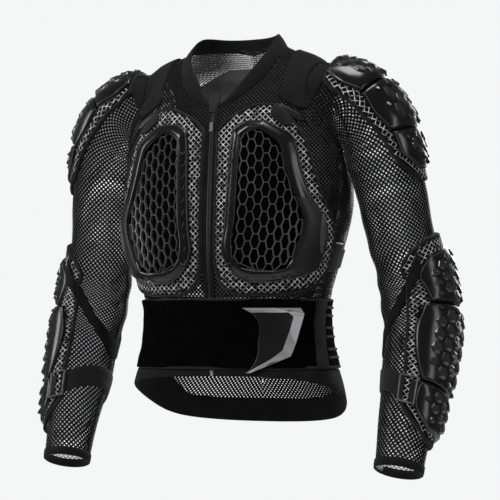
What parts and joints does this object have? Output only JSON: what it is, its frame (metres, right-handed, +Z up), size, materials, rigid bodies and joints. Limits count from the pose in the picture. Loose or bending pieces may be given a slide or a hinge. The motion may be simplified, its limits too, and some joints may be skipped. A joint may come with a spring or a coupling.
{
  "type": "armoured motorcycle jacket",
  "caption": "Long-sleeved mesh jacket with honeycomb chest armour, ribbed plates on the shoulders and forearms, a kidney belt and a front zip, held in its worn shape.",
  "frame": {"origin": "on the wearer's middle plane, between the shoulders, at the height of the base of the neck", "axes": "+Z up, -Y the way the wearer faces, +X to the wearer's left"},
  "size_m": [0.7518, 0.2827, 0.7537],
  "materials": {
    "mesh": "open mesh cloth",
    "stretch": "smooth stretch cloth",
    "velour": "brushed loop cloth",
    "webbing": "woven webbing",
    "pad": "cloth-covered foam",
    "shell": "glossy moulded",
    "plastic": "satin",
    "silver": "silver coloured",
    "flap": "smooth cloth"
  },
  "bodies": {
    "root": {"left_front_mesh": "mesh", "right_front_mesh": "mesh", "back_mesh": "mesh", "left_sleeve": "mesh", "left_cuff": "stretch", "right_sleeve": "mesh", "right_cuff": "stretch", "collar": "stretch", "left_chest_pad": "pad", "left_chest_shell": "shell", "left_honeycomb": "plastic", "right_chest_pad": "pad", "right_chest_shell": "shell", "right_honeycomb": "plastic", "left_shoulder_pad": "pad", "left_shoulder_plate_1": "shell", "left_shoulder_plate_2": "shell", "left_shoulder_plate_3": "shell", "right_shoulder_pad": "pad", "right_shoulder_plate_1": "shell", "right_shoulder_plate_2": "shell", "right_shoulder_plate_3": "shell", "left_forearm_pad": "pad", "left_forearm_plate_1": "shell", "left_forearm_plate_2": "shell", "left_forearm_plate_3": "shell", "right_forearm_pad": "pad", "right_forearm_plate_1": "shell", "right_forearm_plate_2": "shell", "right_forearm_plate_3": "shell", "back_pad": "pad", "back_shell": "shell", "left_shoulder_strap": "stretch", "left_shoulder_yoke": "stretch", "left_shoulder_buckle": "plastic", "left_chest_tab": "webbing", "right_shoulder_strap": "stretch", "right_shoulder_yoke": "stretch", "right_shoulder_buckle": "plastic", "right_chest_tab": "webbing", "left_elbow_strap": "webbing", "left_forearm_strap": "webbing", "left_forearm_buckle": "plastic", "right_elbow_strap": "webbing", "right_forearm_strap": "webbing", "right_forearm_buckle": "plastic", "left_placket": "stretch", "right_placket": "stretch", "zip_chain": "plastic", "zip_stop": "silver", "zip_slider": "plastic", "zip_garage": "flap", "kidney_belt": "velour", "belt_flap": "velour", "badge_base": "plastic", "badge_trim": "silver", "left_side_strap": "webbing", "right_side_strap": "webbing", "hem_band": "stretch"}
  },
  "joints": []
}
